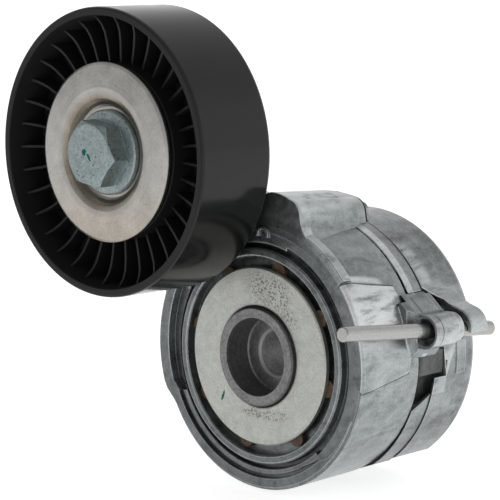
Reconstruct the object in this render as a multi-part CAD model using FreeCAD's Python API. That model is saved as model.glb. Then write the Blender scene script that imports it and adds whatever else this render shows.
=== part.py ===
"""Automatic belt tensioner with its idler pulley, as an assembly of separate parts.

Frame, in millimetres: the arm's pivot axis is the Y axis, +Y points back into the engine,
+X to the right and +Z up when the tensioner is seen from the front. The origin is the centre
of the mounting bore at the rear mounting face. Along Y, places are given as a depth behind the
front plate's outer face; at() turns a depth into a Y coordinate.
"""
import FreeCAD, Part
import math
import os

from FreeCAD import Vector

# Overall layout
BODY_LENGTH = 48.0              # front plate's face to rear mounting face
PULLEY_X = -31.5                # pulley axis, from the pivot axis
PULLEY_Z = 53.5
ARM_SWING = 12.0                # degrees of clockwise travel past the pinned position

# Pulley and bearing (6203 size)
PULLEY_R = 38.0
PULLEY_FRONT = -27.0            # depths
PULLEY_BACK = -2.05
RIM_INNER_R = 35.8
PULLEY_HUB_R = 23.2
RIB_COUNT = 35
BACK_RIB_COUNT = 18
RIB_START = 6.5                 # degrees from +X to the first rib
RIB_THICKNESS = 0.7
BEARING_FRONT = -22.1
BEARING_WIDTH = 12.0
BEARING_OUTER_R = 20.0
BEARING_BORE_R = 8.5
BALL_R = 3.37
BALL_COUNT = 8
BALL_PITCH_R = 14.25
RACE_CLEARANCE = 0.05

# Pulley bolt (M10 flange bolt) and front dust shield
BOLT_R = 5.0
HEX_ACROSS_FLATS = 16.0
HEX_TURN = -8.0                 # degrees from +X to a corner
BOLT_FACE = -30.9
FLANGE_R = 11.2
FLANGE_EDGE = -24.8
SHIELD_SEAT = -23.1             # front of the shield's floor, under the bolt's flange
SHIELD_SHEET = 0.9
SHIELD_R = 23.64

# Arm casting
ARM_R = 36.0
ARM_BACK = 22.5                 # rear edge of its front cup
BAND_BACK = 28.75               # rear edge of the band on its upper side
BAND_FROM = 29.0                # degrees, the lug's side
BAND_TO = 194.0
SPRING_WALL_R = 30.0
SLEEVE_SEAT_R = 32.75
SLEEVE_SEAT = 14.0
ARM_HUB_R = 20.0
ARM_HUB_BACK = 38.0
BUSH_SEAT_R = 16.6
RECESS_R = 26.5
RECESS_FLOOR = 3.05
GROOVE_FLOOR = 2.6
BULGE_R = 37.3

# Lug with its lock pin hole, and the lock pin
LUG_X = 40.1
LUG_Z = 8.75
LUG_R = 4.5
LUG_FRONT = 19.6
LUG_BACK = 31.0
PIN_HOLE_R = 2.78
PIN_R = 1.95
PIN_LENGTH = 59.7
PIN_TILT = 5.5                  # degrees, its rear end lower, wedged in the wide hole
PIN_X = 40.1
PIN_Z = 9.0                     # at depth PIN_MID
PIN_MID = 22.0
PIN_FRONT_REACH = 34.5          # from PIN_MID to its front end

# Spring case
CASE_FRONT = 22.9               # front edge of its band, on the lower side
CASE_STEP = 29.2                # front edge elsewhere
CASE_R = 36.3
CASE_BACK_R = 35.85
CASE_INNER_R = 33.0
FLAT_TURN = -69.5               # degrees to the middle of the flat under the case
FLAT_FRONT = 34.9               # its distance from the pivot axis on the front band
FLAT_BACK = 34.45               # and behind it
CUP_RISE_FRONT = 0.7            # how far the cup's bottom is pulled in at its front
CUP_RISE_BACK = 1.2             # and at its rear edge
CASE_BACK = 46.5
CASE_FLOOR = 42.5
WINDOW_BACK = 34.3
TONGUE_FRONT = 35.1
TONGUE_BACK = 42.0
CASE_BOSS_R = 19.0
CASE_BOSS_FRONT = 39.6
PAD_R = 20.0

# Pivot tube, front plate, washers, sleeve, spring
TUBE_R = 14.5
TUBE_NOSE_R = 13.2
TUBE_FRONT = -1.2
TUBE_RECESS_R = 10.4
TUBE_RECESS_DEPTH = 7.0
BORE_R = 5.3
PLATE_R = 23.7
PLATE_THICKNESS = 1.5
WASHER_R = 22.6
TAB_R = 26.0
TAB_COUNT = 8
JOURNAL_CLEARANCE = 0.05
SLEEVE_OUTER_R = 32.7
SLEEVE_BACK = 38.0
SPRING_R = 25.5
SPRING_WIRE_R = 2.5
SPRING_FRONT = 10.4
SPRING_BACK = 39.6
SPRING_PITCH = 5.84

# Locating dowel on the rear face
DOWEL_R = 4.0
DOWEL_SHANK_R = 3.4
DOWEL_X = -21.0
DOWEL_Z = -17.0
DOWEL_REACH = 5.0

Y_AXIS = Vector(0, 1, 0)


def at(depth):
    """Y coordinate of a depth behind the front plate's outer face."""
    return depth - BODY_LENGTH


def polar(radius, degrees):
    """(x, z) of a point around the pivot axis; 0 is +X and 90 is +Z."""
    turn = math.radians(degrees)
    return radius * math.cos(turn), radius * math.sin(turn)


def turned(profile, x=0.0, z=0.0):
    """Solid of revolution about the Y direction through (x, z), from (radius, depth) points."""
    points = [Vector(x + radius, at(depth), z) for radius, depth in profile]
    face = Part.Face(Part.makePolygon(points + points[:1]))
    return face.revolve(Vector(x, 0, z), Y_AXIS, 360)


def tube(outer, inner, front, back, x=0.0, z=0.0):
    """Plain ring, or a disc when inner is 0."""
    solid = Part.makeCylinder(outer, back - front, Vector(x, at(front), z), Y_AXIS)
    if inner > 0:
        solid = solid.cut(Part.makeCylinder(inner, back - front, Vector(x, at(front), z), Y_AXIS))
    return solid


def sector(outer, inner, front, back, start, end):
    """Part of a ring about the pivot axis, from start to end degrees."""
    middle = (start + end) / 2
    corners = {}
    for name, radius in (("outer", outer), ("inner", inner)):
        for place, degrees in (("start", start), ("middle", middle), ("end", end)):
            x, z = polar(radius, degrees)
            corners[name, place] = Vector(x, at(front), z)
    edges = [
        Part.Arc(corners["outer", "start"], corners["outer", "middle"], corners["outer", "end"]).toShape(),
        Part.LineSegment(corners["outer", "end"], corners["inner", "end"]).toShape(),
        Part.Arc(corners["inner", "end"], corners["inner", "middle"], corners["inner", "start"]).toShape(),
        Part.LineSegment(corners["inner", "start"], corners["outer", "start"]).toShape(),
    ]
    return Part.Face(Part.Wire(edges)).extrude(Vector(0, back - front, 0))


def turned_part(profile, start, end):
    """Solid of revolution about the pivot axis from start to end degrees."""
    points = [Vector(radius, at(depth), 0) for radius, depth in profile]
    face = Part.Face(Part.makePolygon(points + points[:1])).rotated(Vector(0, 0, 0), Y_AXIS, -start)
    return face.revolve(Vector(0, 0, 0), Y_AXIS, start - end)


def raised_cylinder(radius, front_rise, back_rise):
    """Long cylinder whose axis lies above the pivot axis, by front_rise at the cup's front edge
    and by back_rise at its rear edge."""
    slope = (back_rise - front_rise) / ARM_BACK
    start = Vector(0, at(-5.0), front_rise - 5.0 * slope)
    return Part.makeCylinder(radius, 60.0, start, Vector(0, 1, slope))


def prism(outline, front, back):
    """Straight-sided block along Y from an outline of (x, z) points."""
    points = [Vector(x, at(front), z) for x, z in outline]
    face = Part.Face(Part.makePolygon(points + points[:1]))
    return face.extrude(Vector(0, back - front, 0))


def rounded_prism(steps, front, back, drift=(0.0, 0.0)):
    """Block along Y whose outline mixes lines and arcs; drift is how far its rear end lies in x and z.

    Each step is (end,) for a line, or (through, end) for an arc; the first step is the start.
    """
    start = Vector(steps[0][0][0], at(front), steps[0][0][1])
    here = start
    edges = []
    for step in steps[1:]:
        points = [Vector(x, at(front), z) for x, z in step]
        if len(points) == 1:
            edges.append(Part.LineSegment(here, points[0]).toShape())
        else:
            edges.append(Part.Arc(here, points[0], points[1]).toShape())
        here = points[-1]
    if here.distanceToPoint(start) > 1e-6:
        edges.append(Part.LineSegment(here, start).toShape())
    return Part.Face(Part.Wire(edges)).extrude(Vector(drift[0], back - front, drift[1]))


def window(outline, degrees, surface):
    """Cutter that goes radially through a wall of outer radius surface, near that direction.

    Its outline is (degrees, depth) points on the wall's outer surface.
    """
    inner = surface - 5.0
    outer = surface + 3.0
    points = []
    for angle, depth in outline:
        across = surface * math.sin(math.radians(angle - degrees))
        points.append(Vector(inner, at(depth), across))
    face = Part.Face(Part.makePolygon(points + points[:1]))
    cutter = face.extrude(Vector(outer - inner, 0, 0))
    return cutter.rotated(Vector(0, 0, 0), Y_AXIS, -degrees)


def fillet_where(solid, radius, test):
    """Round the edges that a test picks."""
    return solid.makeFillet(radius, [edge for edge in solid.Edges if test(edge)])


def half_space(degrees, distance, front, back):
    """Cutter for all that lies farther than distance from the pivot axis in that direction."""
    size = 60.0
    cutter = Part.makeBox(size, back - front, 2 * size, Vector(distance, at(front), -size))
    return cutter.rotated(Vector(0, 0, 0), Y_AXIS, -degrees)


def save(node, shape):
    """Write one node's STEP file."""
    if not shape.isValid():
        raise ValueError(node + " isn't a valid shape")
    shape.exportStep("parts/" + node + ".step")
    print(node, "solids", len(shape.Solids), "volume", round(shape.Volume, 1))


# ---- Spring case and what is fixed to it ----

def spring_case():
    """Die-cast rear cup: mounting face, stop tongue, and the window that the arm's lug moves in."""
    rear_round = 1.6
    shell = turned([
        (CASE_R - 0.3, CASE_FRONT),
        (CASE_R - 0.3, CASE_STEP - 0.25),
        (CASE_R - 0.55, CASE_STEP - 0.1),
        (CASE_R, CASE_STEP + 0.1),
        (CASE_BACK_R, CASE_BACK - rear_round),
        (CASE_BACK_R - 0.45, CASE_BACK - 0.45),
        (CASE_BACK_R - rear_round, CASE_BACK),
        (PAD_R, CASE_BACK),
        (PAD_R, BODY_LENGTH),
        (TUBE_R, BODY_LENGTH),
        (TUBE_R, CASE_BOSS_FRONT),
        (CASE_BOSS_R, CASE_BOSS_FRONT),
        (CASE_BOSS_R, CASE_FLOOR - 2.0),
        (CASE_BOSS_R + 2.0, CASE_FLOOR),
        (CASE_INNER_R, CASE_FLOOR),
        (CASE_INNER_R, CASE_FRONT),
    ])
    shell = shell.cut(half_space(FLAT_TURN, FLAT_FRONT, CASE_FRONT - 1, CASE_BACK + 1))
    shell = shell.cut(half_space(FLAT_TURN, FLAT_BACK, CASE_STEP, CASE_BACK + 1))
    deep = CASE_R + 3.0
    slot_in = CASE_INNER_R - 1.0
    # The band is missing from the lug round the upper side; its lower end is slanted.
    shell = shell.cut(sector(deep, slot_in, CASE_FRONT - 1, CASE_STEP, -8.0, 195.0))
    shell = shell.cut(window(
        [(-22.6, CASE_FRONT - 1), (-22.0, CASE_FRONT), (-15.3, CASE_STEP), (-7.0, CASE_STEP),
         (-7.0, CASE_FRONT - 1)], -12.0, CASE_R))
    shell = shell.fuse([case_tongue(), tongue_blend(), case_lip()]).removeSplitter()
    # Window for the lug, with a sloping upper end under the stop tongue.
    shell = shell.cut(window(
        [(-8.0, CASE_STEP - 2), (-8.0, WINDOW_BACK), (5.0, WINDOW_BACK), (20.0, WINDOW_BACK + 0.7),
         (24.0, TONGUE_FRONT), (30.5, CASE_STEP), (32.0, CASE_STEP - 2)], 10.0, CASE_R))
    # Pocket behind a thin skin, where the damping sleeve's tab travels.
    pocket_back = WINDOW_BACK + 0.2
    shell = shell.cut(sector(35.15, slot_in, 24.0, pocket_back, -8.2 - ARM_SWING, -6.0))
    shell = shell.cut(facet_cutter())
    # Thin raised pad behind the window.
    shell = shell.fuse(sector(CASE_R + 0.05, CASE_INNER_R + 1.0, 38.3, 41.8, -8.0, 6.3)).removeSplitter()
    # Shallow ring of pockets on the rear face, with ribs between them.
    rib_count = 6
    for index in range(rib_count):
        middle = 15.0 + index * 360.0 / rib_count
        shell = shell.cut(sector(32.0, 22.5, CASE_BACK - 1.2, CASE_BACK + 1, middle - 24.0, middle + 24.0))
    dowel_boss = tube(6.5, 0, CASE_FLOOR + 0.5, CASE_BACK, DOWEL_X, DOWEL_Z)
    shell = shell.fuse(dowel_boss).removeSplitter()
    return shell.cut(tube(DOWEL_SHANK_R, 0, CASE_FLOOR - 1, CASE_BACK + 1, DOWEL_X, DOWEL_Z))


def case_tongue():
    """Curved stop tongue that reaches over the lock pin, with a saddle that the pin bears on."""
    tongue = rounded_prism([
        [(32.6, 14.9)],
        [(37.0, 13.7)],
        [(39.7, 12.9)],
        [(42.4, 11.1), (43.5, 8.0)],
        [(43.5, 7.1)],
        [(35.0, 7.1)],
        [(34.4, 4.5)],
        [(33.6, 4.5)],
        [(31.2, 12.0)],
    ], TONGUE_FRONT, TONGUE_BACK)
    tongue = fillet_where(tongue, 0.5, lambda edge: isinstance(edge.Curve, Part.Circle))
    saddle_r = PIN_R + 0.27
    saddle = pin_like(saddle_r, PIN_LENGTH)
    below = Part.makeBox(2 * saddle_r, 12.0, 9.0, Vector(PIN_X - saddle_r, at(33.0), -1.4))
    return tongue.cut(saddle).cut(below)


def tongue_blend():
    """Hollow curve by which the case's wall rises into the tongue."""
    return rounded_prism([
        [polar(CASE_R - 0.1, 29.0)],
        [(33.87, 15.17), (37.0, 13.7)],
        [(34.0, 13.0)],
        [polar(CASE_INNER_R + 1.0, 29.0)],
    ], CASE_STEP + 0.5, TONGUE_BACK)


def case_lip():
    """Low lip on the case's front edge, behind the arm's neck."""
    outline = [(-7.0, 35.0), (-7.0, 40.6), (0.0, 41.3), (6.0, 40.1), (10.0, 38.8), (11.3, 37.4),
               (11.3, 33.6)]
    return prism(outline, CASE_STEP, CASE_STEP + 2.2)


def facet_cutter():
    """Trimmed flat beside the window: widest at the window's upper end, gone at its lower end."""
    low_x, low_z = polar(CASE_R, -8.4)
    high_x, high_z = polar(CASE_R, 5.5)
    corners = [
        Vector(low_x, at(34.4), low_z),
        Vector(high_x, at(38.2), high_z),
        Vector(high_x - 1.3, at(34.2), high_z),
    ]
    return Part.Face(Part.makePolygon(corners + corners[:1])).extrude(Vector(6.0, 0, 0))


def pivot_tube():
    """Turned pivot tube: journal for the bush, staked nose, deep recess for the bolt's head."""
    return turned([
        (TUBE_RECESS_R, TUBE_FRONT),
        (TUBE_NOSE_R - 0.4, TUBE_FRONT),
        (TUBE_NOSE_R, TUBE_FRONT + 0.4),
        (TUBE_NOSE_R, PLATE_THICKNESS),
        (TUBE_R, PLATE_THICKNESS),
        (TUBE_R, BODY_LENGTH),
        (BORE_R, BODY_LENGTH),
        (BORE_R, TUBE_RECESS_DEPTH + 1.0),
        (BORE_R + 0.25, TUBE_RECESS_DEPTH + 0.45),
        (BORE_R + 0.8, TUBE_RECESS_DEPTH + 0.1),
        (BORE_R + 1.2, TUBE_RECESS_DEPTH),
        (TUBE_RECESS_R - 0.55, TUBE_RECESS_DEPTH),
        (TUBE_RECESS_R - 0.2, TUBE_RECESS_DEPTH - 0.35),
    ])


def front_plate():
    """Hardened steel plate that holds the arm on the pivot tube."""
    return turned([
        (TUBE_NOSE_R + 0.45, 0.0),
        (PLATE_R - 0.35, 0.0),
        (PLATE_R, 0.35),
        (PLATE_R, PLATE_THICKNESS),
        (TUBE_NOSE_R, PLATE_THICKNESS),
        (TUBE_NOSE_R, 0.6),
    ])


def rear_thrust_ring():
    """Polymer ring between the arm's hub and the case's boss."""
    return tube(19.0, TUBE_R, ARM_HUB_BACK + 0.05, CASE_BOSS_FRONT)


def locating_dowel():
    """Shouldered dowel pressed into the case; it stops the case turning on the engine."""
    chamfer = 0.8
    back = BODY_LENGTH + DOWEL_REACH
    return turned([
        (0, CASE_FLOOR + 0.6),
        (DOWEL_SHANK_R, CASE_FLOOR + 0.6),
        (DOWEL_SHANK_R, CASE_BACK),
        (DOWEL_R, CASE_BACK),
        (DOWEL_R, back - chamfer),
        (DOWEL_R - chamfer, back),
        (0, back),
    ], DOWEL_X, DOWEL_Z)


def torsion_spring():
    """Round-wire torsion spring that turns the arm against the belt."""
    length = SPRING_BACK - SPRING_FRONT
    helix = Part.makeHelix(SPRING_PITCH, length, SPRING_R)
    start = Vector(SPRING_R, 0, 0)
    circle = Part.Wire([Part.makeCircle(SPRING_WIRE_R, start, Y_AXIS)])
    sweep = Part.BRepOffsetAPI.MakePipeShell(helix)
    sweep.setFrenetMode(True)
    sweep.add(circle)
    sweep.build()
    sweep.makeSolid()
    spring = sweep.shape()
    spring.rotate(Vector(0, 0, 0), Vector(1, 0, 0), -90)
    spring.translate(Vector(0, at(SPRING_FRONT), 0))
    return spring


# ---- Arm and what turns with it ----

def neck_outline():
    """Outline of the neck that carries the pulley, from the cup's right side round to its left."""
    boss_r = 15.5
    top = math.radians(55)
    left = math.radians(205)
    over = math.radians(130)
    top_point = (PULLEY_X + boss_r * math.cos(top), PULLEY_Z + boss_r * math.sin(top))
    over_point = (PULLEY_X + boss_r * math.cos(over), PULLEY_Z + boss_r * math.sin(over))
    left_point = (PULLEY_X + boss_r * math.cos(left), PULLEY_Z + boss_r * math.sin(left))
    return [
        [(17.0, 27.5)],
        [(19.0, 30.5)],
        [(16.2, 33.1), (14.55, 36.4)],
        [(14.2, 38.7)],
        [(13.1, 41.0), (10.7, 42.3)],
        [(7.6, 43.4), (4.2, 43.8)],
        [(-4.5, 41.3)],
        [(-15.0, 47.5), top_point],
        [over_point, left_point],
        [(-38.6, 30.0), polar(35.0, 168.0)],
        [(0.0, 20.0)],
    ]


def arm():
    """Die-cast arm: front cup, neck with the pulley's spigot, side pad, and the pinned lug."""
    cup = turned([
        (BUSH_SEAT_R, RECESS_FLOOR),
        (RECESS_R, RECESS_FLOOR),
        (RECESS_R, 0.35),
        (RECESS_R + 0.35, 0.0),
        (28.3, 0.0),
        (28.75, 0.4),
        (28.85, GROOVE_FLOOR),
        (29.9, GROOVE_FLOOR),
        (30.0, 1.0),
        (30.3, 0.75),
        (33.3, 0.55),
        (35.1, 0.45),
        (35.6, 0.7),
        (ARM_R - 0.1, 1.1),
        (ARM_R, 1.6),
        (ARM_R + 0.2, ARM_BACK - 0.3),
        (ARM_R - 0.1, ARM_BACK),
        (SLEEVE_SEAT_R, ARM_BACK),
        (SLEEVE_SEAT_R, SLEEVE_SEAT),
        (SPRING_WALL_R, SLEEVE_SEAT),
        (SPRING_WALL_R, 7.5),
        (ARM_HUB_R, 7.5),
        (ARM_HUB_R, ARM_HUB_BACK),
        (BUSH_SEAT_R, ARM_HUB_BACK),
    ])
    band = turned_part([
        (SLEEVE_SEAT_R, ARM_BACK - 0.5),
        (ARM_R - 0.9, ARM_BACK - 0.5),
        (ARM_R - 0.9, ARM_BACK + 0.5),
        (ARM_R + 0.3, ARM_BACK + 0.65),
        (ARM_R + 0.7, ARM_BACK + 2.1),
        (ARM_R + 0.7, BAND_BACK - 0.15),
        (ARM_R + 0.55, BAND_BACK),
        (SLEEVE_SEAT_R, BAND_BACK),
    ], BAND_FROM, BAND_TO)
    cup = cup.common(raised_cylinder(ARM_R + 0.25, CUP_RISE_FRONT, CUP_RISE_BACK))
    solid = cup.fuse([
        arm_neck(),
        arm_lug(),
        band,
        side_strip(),
        side_pad(),
        left_bulge(),
        front_rim(),
        gate_mark(),
    ]).removeSplitter()
    solid = solid.cut(tube(RECESS_R + 5.5, 0, -6.0, 0.0))
    # The groove round the inner ridge is wide on the right, and a shallow one runs round below.
    solid = solid.cut(sector(31.1, 29.4, -1.0, GROOVE_FLOOR, -49.0, 72.0))
    solid = solid.cut(rounded_prism([
        [polar(31.3, 204.0)],
        [polar(31.3, 252.0), polar(31.3, 300.0)],
        [polar(32.3, 311.0)],
        [polar(32.4, 257.0), polar(32.4, 204.0)],
    ], -1.0, 1.4))
    solid = solid.cut(rounded_prism([
        [polar(30.05, 150.0)],
        [polar(30.05, 177.0), polar(30.05, 205.0)],
        [polar(32.1, 204.0)],
        [polar(33.4, 198.0)],
        [polar(33.6, 175.0), polar(34.0, 150.0)],
    ], -1.0, GROOVE_FLOOR))
    spigot_front = BEARING_FRONT + 0.3
    shoulder = BEARING_FRONT + BEARING_WIDTH + 1.0
    spigot = turned([
        (0, spigot_front),
        (BEARING_BORE_R - 0.55, spigot_front),
        (BEARING_BORE_R - 0.05, spigot_front + 0.5),
        (BEARING_BORE_R - 0.05, shoulder),
        (11.5, shoulder),
        (13.0, 1.2),
        (0, 1.2),
    ], PULLEY_X, PULLEY_Z)
    solid = solid.fuse(spigot).removeSplitter()
    solid = solid.cut(tube(BOLT_R + 0.05, 0, spigot_front - 1, 20.0, PULLEY_X, PULLEY_Z))
    return solid.cut(tube(BOLT_R + 1.2, 0, 1.5, 20.0, PULLEY_X, PULLEY_Z))


def arm_neck():
    """Neck from the cup to behind the pulley; thick beside the cup, thinner at the pulley's boss."""
    boss_back = 13.0
    neck = rounded_prism(neck_outline(), 0.5, BAND_BACK, (-1.7, -1.7))
    # Its rear face leans forward to the left, as far as the thin part behind the pulley.
    rear = [(9.0, BAND_BACK), (2.0, 22.3), (-9.0, boss_back), (-60.0, boss_back),
            (-60.0, BAND_BACK + 2), (9.0, BAND_BACK + 2)]
    corners = [Vector(x, at(depth), 10.0) for x, depth in rear]
    neck = neck.cut(Part.Face(Part.makePolygon(corners + corners[:1])).extrude(Vector(0, 0, 80.0)))
    # The neck ends on the cup's outer wall, so that the cup stays hollow.
    return neck.cut(tube(SLEEVE_SEAT_R + 0.5, 0, -1.0, BAND_BACK + 1))


def arm_lug():
    """Lug on the arm's right side with the wide hole for the lock pin."""
    top = LUG_Z + LUG_R
    low = LUG_Z - LUG_R
    lug = rounded_prism([
        [(31.0, 17.2)],
        [(32.3, 17.6)],
        [(36.9, 13.7)],
        [(37.4, top), (38.2, top)],
        [(LUG_X, top)],
        [(LUG_X + LUG_R, LUG_Z), (LUG_X, low)],
        [(38.6, low + 0.1)],
        [(36.4, 1.4)],
        [(34.5, 1.4)],
        [(32.3, 6.0)],
    ], LUG_FRONT, BAND_BACK)
    rear = rounded_prism([
        [(31.0, 16.2)],
        [(32.4, 17.0)],
        [(36.7, 13.3)],
        [(37.2, top - 0.4), (38.2, top - 0.4)],
        [(LUG_X, top - 0.4)],
        [(LUG_X + LUG_R - 0.4, LUG_Z), (LUG_X, low + 0.4)],
        [(38.4, low + 0.6)],
        [(36.1, 2.9)],
        [(34.4, 2.9)],
        [(33.4, 8.0)],
    ], BAND_BACK - 1.0, LUG_BACK)
    # Concave slope from the side wall up to the lug's front face.
    profile = [(33.5, 17.2), (36.2, 17.2), (36.7, 18.5), (37.3, 19.2), (38.1, LUG_FRONT),
               (38.1, LUG_FRONT + 1), (33.5, LUG_FRONT + 1)]
    corners = [Vector(x, at(depth), 0) for x, depth in profile]
    slope = Part.Face(Part.makePolygon(corners + corners[:1])).extrude(Vector(0, 0, 16.0))
    slope = slope.common(lug.translated(Vector(0, -3.5, 0)).fuse(lug))
    lug = lug.fuse([rear, slope]).removeSplitter()
    hole = tube(PIN_HOLE_R, 0, LUG_FRONT - 4, LUG_BACK + 1, LUG_X, LUG_Z)
    mouth_centre = Vector(LUG_X, at(LUG_FRONT) - 0.01, LUG_Z)
    mouth = Part.makeCone(PIN_HOLE_R + 1.0, PIN_HOLE_R, 1.0, mouth_centre, Y_AXIS)
    return lug.cut(hole).cut(mouth)


def left_bulge():
    """Thicker wall on the cup's left side, below the neck; its lower end sinks into the wall."""
    return rounded_prism([
        [polar(SLEEVE_SEAT_R + 0.5, 150.0)],
        [polar(BULGE_R, 150.0)],
        [polar(BULGE_R, 174.0), polar(BULGE_R, 197.5)],
        [polar(36.9, 201.0)],
        [polar(35.6, 206.5)],
        [polar(SLEEVE_SEAT_R + 0.5, 206.5)],
        [polar(SLEEVE_SEAT_R + 0.5, 178.0), polar(SLEEVE_SEAT_R + 0.5, 150.0)],
    ], 0.45, ARM_BACK - 0.4)


def front_rim():
    """Raised flat rim round the left and the bottom of the front face, tapering out on the right."""
    bulge = BULGE_R - 0.45
    return rounded_prism([
        [polar(34.0, 150.0)],
        [polar(33.6, 175.0), polar(33.4, 198.0)],
        [polar(32.2, 203.5)],
        [polar(32.4, 257.0), polar(32.6, 311.0)],
        [polar(33.9, 317.0)],
        [polar(34.4, 328.0), polar(34.6, 338.0)],
        [polar(34.9, 339.0)],
        [polar(34.9, 275.0), polar(34.9, 209.0)],
        [polar(35.3, 206.0)],
        [polar(36.5, 201.0)],
        [polar(bulge, 197.5)],
        [polar(bulge, 174.0), polar(bulge, 150.0)],
    ], 0.0, 1.2)


def side_strip():
    """Low bead along the front edge, from the neck down to the side pad."""
    return turned_part([
        (33.5, 0.5),
        (36.6, 0.5),
        (36.95, 0.85),
        (36.95, 3.7),
        (36.2, 4.2),
        (33.5, 4.2),
    ], 38.3, 66.0)


def side_pad():
    """Slightly raised flat pad on the arm's right side, with cut corners at the back."""
    pad = turned_part([
        (SLEEVE_SEAT_R + 0.5, 0.6),
        (35.0, 0.3),
        (35.8, 0.05),
        (36.3, 1.0),
        (36.6, 18.7),
        (SLEEVE_SEAT_R + 0.5, 18.7),
    ], -7.5, 37.4)
    outline = [(-9.0, -0.5), (37.6, -0.5), (37.4, 4.0), (35.2, 10.0), (33.5, 17.4), (29.0, 18.7),
               (0.5, 18.7), (-3.6, 17.4)]
    keep = window(outline, 14.0, ARM_R)
    return pad.common(keep)


def gate_mark():
    """Small arched rib left on the neck's front face by the casting gate."""
    rib = rounded_prism([
        [(-0.6, 29.6)],
        [(-0.6, 32.6)],
        [(1.5, 34.6), (3.6, 32.6)],
        [(3.6, 31.4)],
        [(2.9, 31.4)],
        [(2.9, 32.6)],
        [(1.5, 33.9), (0.1, 32.6)],
        [(0.1, 29.6)],
    ], -0.15, 1.5)
    return rib.cut(tube(32.0, 0, -2.0, 3.0))


def pivot_bushing():
    """Polymer bush pressed into the arm's hub; it runs on the pivot tube."""
    return tube(BUSH_SEAT_R, TUBE_R + JOURNAL_CLEARANCE, RECESS_FLOOR + 0.2, ARM_HUB_BACK - 0.3)


def thrust_washer():
    """Brown friction washer behind the front plate, keyed by tabs round its edge."""
    front = PLATE_THICKNESS + 0.05
    back = RECESS_FLOOR - 0.05
    washer = tube(WASHER_R, TUBE_R + 0.3, front, back)
    tab_round = 2.3
    tabs = []
    for index in range(TAB_COUNT):
        x, z = polar(TAB_R - tab_round, 31.0 + index * 360.0 / TAB_COUNT)
        tabs.append(tube(tab_round, 0, front, back, x, z))
    return washer.fuse(tabs).removeSplitter()


def damping_sleeve():
    """Polymer sleeve that rubs inside the case; its tab shows in the case's window."""
    sleeve = tube(SLEEVE_OUTER_R, SPRING_WALL_R + 0.1, SLEEVE_SEAT, SLEEVE_BACK)
    tab = sector(34.85, SPRING_WALL_R + 0.5, 24.3, 34.0, -7.0, 3.5)
    tab = fillet_where(tab, 1.1, lambda edge: edge.BoundBox.YLength < 0.01
                       and abs(edge.BoundBox.YMin - at(24.3)) < 0.01
                       and edge.BoundBox.XMin > 34.4)
    return sleeve.fuse(tab).removeSplitter()


def lock_pin():
    """Plain steel pin that holds the arm against the case's tongue."""
    return fillet_where(pin_like(PIN_R, PIN_LENGTH), 0.4, lambda edge: isinstance(edge.Curve, Part.Circle))


def pin_like(radius, length):
    """Cylinder along the lock pin's tilted axis."""
    tilt = math.radians(PIN_TILT)
    back = Vector(0, math.cos(tilt), -math.sin(tilt))
    start = Vector(PIN_X, at(PIN_MID), PIN_Z) - back * PIN_FRONT_REACH
    return Part.makeCylinder(radius, length, start, back)


# ---- Bolt, shields and inner race, held on the arm ----

def pulley_bolt():
    """Flange bolt that clamps the inner race and both shields on the arm's spigot."""
    hex_back = FLANGE_EDGE - 0.3
    corner_r = HEX_ACROSS_FLATS / math.sqrt(3)
    corners = []
    for index in range(6):
        turn = math.radians(HEX_TURN + 60 * index)
        corners.append((PULLEY_X + corner_r * math.cos(turn), PULLEY_Z + corner_r * math.sin(turn)))
    head = prism(corners, BOLT_FACE, hex_back + 0.6)
    rounding = turned([
        (0, BOLT_FACE),
        (HEX_ACROSS_FLATS / 2 - 0.3, BOLT_FACE),
        (corner_r + 0.1, BOLT_FACE + 1.1),
        (corner_r + 0.1, hex_back + 1),
        (0, hex_back + 1),
    ], PULLEY_X, PULLEY_Z)
    head = head.common(rounding)
    body = turned([
        (0, hex_back),
        (corner_r - 0.3, hex_back),
        (FLANGE_R - 0.4, FLANGE_EDGE),
        (FLANGE_R, FLANGE_EDGE + 0.4),
        (FLANGE_R, SHIELD_SEAT - 0.3),
        (FLANGE_R - 0.4, SHIELD_SEAT),
        (BOLT_R, SHIELD_SEAT),
        (BOLT_R, 17.2),
        (BOLT_R - 0.8, 18.0),
        (0, 18.0),
    ], PULLEY_X, PULLEY_Z)
    return head.fuse(body).removeSplitter()


def thread_insert():
    """Steel wire-thread insert in the arm's boss."""
    return tube(BOLT_R + 1.2, BOLT_R, 1.6, 16.0, PULLEY_X, PULLEY_Z)


def front_dust_shield():
    """Dished pressed-steel shield clamped under the bolt's flange."""
    front = [(BOLT_R + 0.2, SHIELD_SEAT), (12.0, SHIELD_SEAT), (12.6, SHIELD_SEAT - 0.35),
             (13.3, SHIELD_SEAT - 1.3), (14.2, SHIELD_SEAT - 2.3), (15.4, SHIELD_SEAT - 2.85),
             (17.0, SHIELD_SEAT - 2.95), (20.5, SHIELD_SEAT - 2.55), (22.9, SHIELD_SEAT - 2.2),
             (SHIELD_R, SHIELD_SEAT - 1.75)]
    back = [(SHIELD_R, SHIELD_SEAT - 0.9), (SHIELD_R - 0.7, SHIELD_SEAT - 0.9),
            (22.6, SHIELD_SEAT - 1.25), (20.3, SHIELD_SEAT - 1.65), (17.0, SHIELD_SEAT - 2.05),
            (15.8, SHIELD_SEAT - 1.95), (14.9, SHIELD_SEAT - 1.6), (14.2, SHIELD_SEAT - 0.8),
            (13.4, SHIELD_SEAT + 0.25), (12.5, SHIELD_SEAT + SHIELD_SHEET),
            (BOLT_R + 0.2, SHIELD_SEAT + SHIELD_SHEET)]
    return turned(front + back, PULLEY_X, PULLEY_Z)


def rear_dust_shield():
    """Flat steel shield between the inner race and the arm's spigot shoulder."""
    front = BEARING_FRONT + BEARING_WIDTH
    return tube(17.8, BEARING_BORE_R, front + 0.05, front + 0.95, PULLEY_X, PULLEY_Z)


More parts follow.
